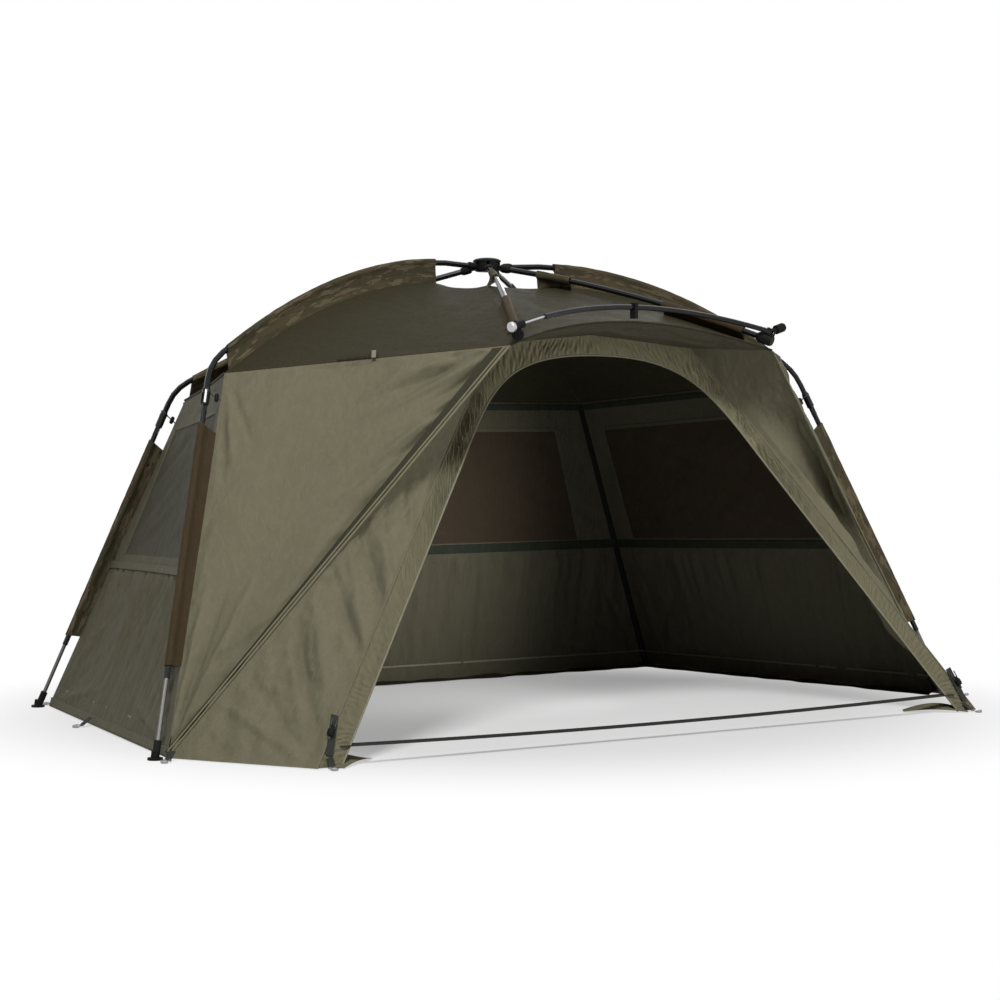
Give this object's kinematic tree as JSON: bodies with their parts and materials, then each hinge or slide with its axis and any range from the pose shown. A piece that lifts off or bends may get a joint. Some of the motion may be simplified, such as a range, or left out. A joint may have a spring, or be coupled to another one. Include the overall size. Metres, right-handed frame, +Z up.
{
  "type": "bivvy tent",
  "caption": "Low framed fishing shelter: a hub with arched ribs and folding telescopic legs, an olive fabric skin hung from camouflage sleeves, and an arched open door under a peak.",
  "frame": {"origin": "ground level at the middle of the tent's footprint and overall plan", "axes": "+X to the right seen from in front of the door, +Y towards the rear wall, +Z up"},
  "size_m": [2.638, 1.5688, 1.2793],
  "materials": {
    "black_alloy": "gloss black coated tube",
    "black_moulding": "moulded nylon, satin",
    "bright_steel": "bright turned steel",
    "olive_cloth": "coated polyester, dull olive",
    "roof_cloth": "coated polyester, dark olive, slight sheen",
    "camo_cloth": "mottled camouflage print",
    "webbing": "flat woven webbing"
  },
  "bodies": {
    "hub": {"hub_body": "black_moulding", "hub_cap": "black_moulding"},
    "rib_front_left": {"root_rib_front_left": "black_moulding", "rib_front_left": "black_alloy", "roof_sleeve_front_left": "camo_cloth", "roof_front_left": "roof_cloth", "roof_left": "roof_cloth", "wing_left": "olive_cloth"},
    "rib_front_right": {"root_rib_front_right": "black_moulding", "rib_front_right": "black_alloy", "roof_sleeve_front_right": "camo_cloth", "roof_front_right": "roof_cloth", "roof_right": "roof_cloth", "wing_right": "olive_cloth", "door_band": "olive_cloth", "ground_strap": "webbing"},
    "rib_rear_left": {"root_rib_rear_left": "black_moulding", "rib_rear_left": "black_alloy", "roof_sleeve_rear_left": "camo_cloth", "wall_left": "olive_cloth"},
    "rib_rear_right": {"root_rib_rear_right": "black_moulding", "rib_rear_right": "black_alloy", "roof_sleeve_rear_right": "camo_cloth", "roof_rear": "roof_cloth", "wall_right": "olive_cloth", "wall_rear": "olive_cloth"},
    "peak_left": {"root_peak_left": "black_moulding", "peak_left_arm": "black_alloy", "peak_left_sleeve_upper": "camo_cloth", "peak_left_sleeve_lower": "olive_cloth", "clamp_left": "black_moulding"},
    "peak_right": {"root_peak_right": "black_moulding", "peak_right_arm": "black_alloy", "peak_right_sleeve_upper": "camo_cloth", "peak_right_sleeve_lower": "olive_cloth", "clamp_right": "black_moulding", "bar_end_cap": "black_moulding", "roof_front": "roof_cloth", "peak_valance": "olive_cloth"},
    "bar": {"tension_bar": "black_alloy", "adjuster_rod": "bright_steel", "bar_clip": "black_moulding"},
    "knob": {"adjuster_knob": "bright_steel"},
    "leg_front_left": {"leg_front_left": "black_alloy", "leg_sleeve_front_left": "camo_cloth"},
    "leg_front_right": {"leg_front_right": "black_alloy", "leg_sleeve_front_right": "camo_cloth"},
    "leg_rear_left": {"leg_rear_left": "black_alloy", "leg_sleeve_rear_left": "camo_cloth"},
    "leg_rear_right": {"leg_rear_right": "black_alloy", "leg_sleeve_rear_right": "camo_cloth"},
    "lower_leg_front_left": {"lower_leg_front_left": "black_alloy", "foot_front_left": "black_moulding"},
    "lower_leg_front_right": {"lower_leg_front_right": "black_alloy", "foot_front_right": "black_moulding"},
    "lower_leg_rear_left": {"lower_leg_rear_left": "black_alloy", "foot_rear_left": "black_moulding"},
    "lower_leg_rear_right": {"lower_leg_rear_right": "black_alloy", "foot_rear_right": "black_moulding"}
  },
  "joints": [
    {"name": "rib_front_left_fold", "type": "hinge", "parent": "hub", "child": "rib_front_left", "pos_m": [-0.02942, 0.09565, 1.251], "axis": [0.195, -0.9808, 0], "range_deg": [0, 43], "deforming": ["roof_front", "roof_front_left", "roof_front_right", "roof_left", "roof_right", "roof_rear", "peak_valance", "roof_sleeve_front_left", "roof_sleeve_front_right", "roof_sleeve_rear_left", "roof_sleeve_rear_right", "peak_left_sleeve_upper", "peak_left_sleeve_lower", "peak_right_sleeve_upper", "peak_right_sleeve_lower", "wall_left", "wall_right", "wall_rear", "wing_left", "wing_right", "door_band", "ground_strap"]},
    {"name": "rib_front_right_fold", "type": "hinge", "parent": "hub", "child": "rib_front_right", "pos_m": [0.02942, 0.09565, 1.251], "axis": [0.195, 0.9808, 0], "range_deg": [0, 43]},
    {"name": "rib_rear_left_fold", "type": "hinge", "parent": "hub", "child": "rib_rear_left", "pos_m": [-0.02462, 0.11865, 1.251], "axis": [-0.5716, -0.8205, 0], "range_deg": [0, 43]},
    {"name": "rib_rear_right_fold", "type": "hinge", "parent": "hub", "child": "rib_rear_right", "pos_m": [0.02462, 0.11865, 1.251], "axis": [-0.5716, 0.8205, 0], "range_deg": [0, 43]},
    {"name": "peak_left_fold", "type": "hinge", "parent": "hub", "child": "peak_left", "pos_m": [-0.0142, 0.07507, 1.251], "axis": [0.8809, -0.4733, 0], "range_deg": [0, 43]},
    {"name": "peak_right_fold", "type": "hinge", "parent": "hub", "child": "peak_right", "pos_m": [0.0142, 0.07507, 1.251], "axis": [0.8809, 0.4733, 0], "range_deg": [0, 43]},
    {"name": "bar_swing", "type": "hinge", "parent": "peak_right", "child": "bar", "pos_m": [0.411, -0.6635, 1.054], "axis": [-0.1568, 0.326, -0.9323], "range_deg": [0, 43]},
    {"name": "leg_front_left_fold", "type": "hinge", "parent": "rib_front_left", "child": "leg_front_left", "pos_m": [-1.01391, -0.12734, 0.86364], "axis": [0.1012, -0.9515, 0.2906], "range_deg": [0, 130], "deforming": ["leg_sleeve_front_left", "leg_sleeve_front_right", "leg_sleeve_rear_left", "leg_sleeve_rear_right"]},
    {"name": "leg_front_right_fold", "type": "hinge", "parent": "rib_front_right", "child": "leg_front_right", "pos_m": [1.01391, -0.12734, 0.86364], "axis": [0.1012, 0.9515, -0.2906], "range_deg": [0, 130]},
    {"name": "leg_rear_left_fold", "type": "hinge", "parent": "rib_rear_left", "child": "leg_rear_left", "pos_m": [-0.77517, 0.63046, 0.80401], "axis": [-0.6029, -0.7906, 0.107], "range_deg": [0, 137]},
    {"name": "leg_rear_right_fold", "type": "hinge", "parent": "rib_rear_right", "child": "leg_rear_right", "pos_m": [0.77517, 0.63046, 0.80401], "axis": [-0.6029, 0.7906, -0.107], "range_deg": [0, 137]},
    {"name": "lower_leg_front_left_slide", "type": "slide", "parent": "leg_front_left", "child": "lower_leg_front_left", "axis": [0.2992, 0.3076, 0.9032], "range_m": [0, 0.12]},
    {"name": "lower_leg_front_right_slide", "type": "slide", "parent": "leg_front_right", "child": "lower_leg_front_right", "axis": [-0.2992, 0.3076, 0.9032], "range_m": [0, 0.12]},
    {"name": "lower_leg_rear_left_slide", "type": "slide", "parent": "leg_rear_left", "child": "lower_leg_rear_left", "axis": [0.3652, -0.1542, 0.9181], "range_m": [0, 0.12]},
    {"name": "lower_leg_rear_right_slide", "type": "slide", "parent": "leg_rear_right", "child": "lower_leg_rear_right", "axis": [-0.3652, -0.1542, 0.9181], "range_m": [0, 0.12]},
    {"name": "adjuster_knob_turn", "type": "hinge", "parent": "bar", "child": "knob", "pos_m": [-0.42862, -0.66839, 1.04964], "axis": [-0.9373, -0.26, -0.232], "continuous": true}
  ],
  "couplings": [
    {"joint": "rib_front_right_fold", "follows": "rib_front_left_fold", "ratio": 1},
    {"joint": "rib_rear_left_fold", "follows": "rib_front_left_fold", "ratio": 1},
    {"joint": "rib_rear_right_fold", "follows": "rib_front_left_fold", "ratio": 1},
    {"joint": "peak_left_fold", "follows": "rib_front_left_fold", "ratio": 1},
    {"joint": "peak_right_fold", "follows": "rib_front_left_fold", "ratio": 1},
    {"joint": "bar_swing", "follows": "rib_front_left_fold", "ratio": 1},
    {"joint": "leg_front_right_fold", "follows": "leg_front_left_fold", "ratio": 1},
    {"joint": "leg_rear_left_fold", "follows": "leg_front_left_fold", "ratio": 1.0538},
    {"joint": "leg_rear_right_fold", "follows": "leg_front_left_fold", "ratio": 1.0538}
  ]
}
